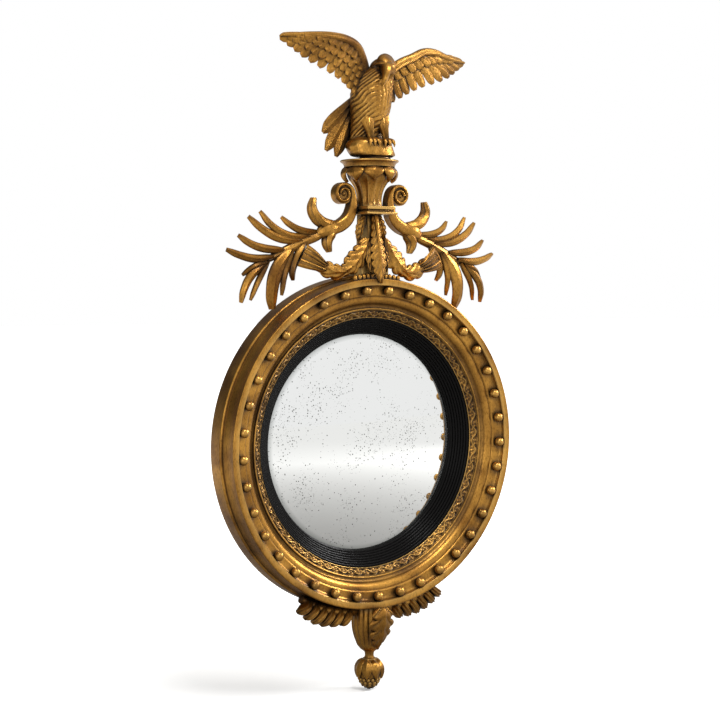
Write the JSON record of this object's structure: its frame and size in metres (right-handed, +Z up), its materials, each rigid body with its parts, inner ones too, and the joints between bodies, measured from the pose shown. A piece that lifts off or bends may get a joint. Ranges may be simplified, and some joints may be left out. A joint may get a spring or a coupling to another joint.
{
  "type": "girandole mirror",
  "caption": "Round convex wall mirror in a gilded ball-set frame with an ebonised reeded slip, a spread eagle on a scrolled leaf crest, and a leaf and bud pendant.",
  "frame": {"origin": "on the glass's axis in the plane of the mirror's back, which lies against the wall", "axes": "+Z up when the mirror hangs, -Y out of the wall towards the viewer, +X to the viewer's right"},
  "size_m": [0.6342, 0.1157, 1.2316],
  "materials": {
    "gilt_wood": "carved pine with gesso and worn antique gold leaf",
    "ebonised_slip": "ebonised wood, satin black, turned reeds",
    "silvered_glass": "convex silvered glass, slightly foxed",
    "bare_pine": "bare aged pine",
    "cork": "cork",
    "steel_fittings": "dull zinc-plated steel"
  },
  "bodies": {
    "root": {"frame_hoop": "gilt_wood", "front_moulding": "gilt_wood", "cove_balls": "gilt_wood", "carved_ring": "gilt_wood", "reeded_slip": "ebonised_slip", "mirror_glass": "silvered_glass", "glass_pads": "cork", "back_panel": "bare_pine", "back_panel_screws": "steel_fittings", "hanger_screws": "steel_fittings", "crest_plate": "steel_fittings", "apron_plate": "steel_fittings", "plate_screws": "steel_fittings", "dowels": "bare_pine", "hanger_strap_left": "steel_fittings", "hanger_strap_right": "steel_fittings", "crest_block": "gilt_wood", "crest_tablet": "gilt_wood", "capital_bell": "gilt_wood", "capital_petals": "gilt_wood", "abacus": "gilt_wood", "drop_leaf_centre": "gilt_wood", "foot_reeds": "gilt_wood", "rock_base": "gilt_wood", "eagle_body": "gilt_wood", "eagle_head": "gilt_wood", "eagle_wing_left": "gilt_wood", "eagle_wing_right": "gilt_wood", "eagle_tail": "gilt_wood", "eagle_leg_left": "gilt_wood", "eagle_leg_right": "gilt_wood", "apron_calyx": "gilt_wood", "apron_leaf": "gilt_wood", "apron_gadroon_left": "gilt_wood", "apron_gadroon_right": "gilt_wood", "pendant_neck": "gilt_wood", "pendant_bud": "gilt_wood", "pendant_berries": "gilt_wood", "scroll_left": "gilt_wood", "scroll_right": "gilt_wood", "husk_left": "gilt_wood", "husk_right": "gilt_wood", "spray_left": "gilt_wood", "spray_right": "gilt_wood", "swag_left": "gilt_wood", "swag_right": "gilt_wood", "drop_leaf_left": "gilt_wood", "drop_leaf_right": "gilt_wood"},
    "hanger_ring_left": {"hanger_ring_left": "steel_fittings"},
    "hanger_ring_right": {"hanger_ring_right": "steel_fittings"}
  },
  "joints": [
    {"name": "hanger_left_hinge", "type": "hinge", "parent": "root", "child": "hanger_ring_left", "pos_m": [-0.17998, -0.0068, 0.21949], "axis": [1, 0, 0], "range_deg": [0, 165]},
    {"name": "hanger_right_hinge", "type": "hinge", "parent": "root", "child": "hanger_ring_right", "pos_m": [0.17998, -0.0068, 0.21949], "axis": [1, 0, 0], "range_deg": [0, 165]}
  ]
}
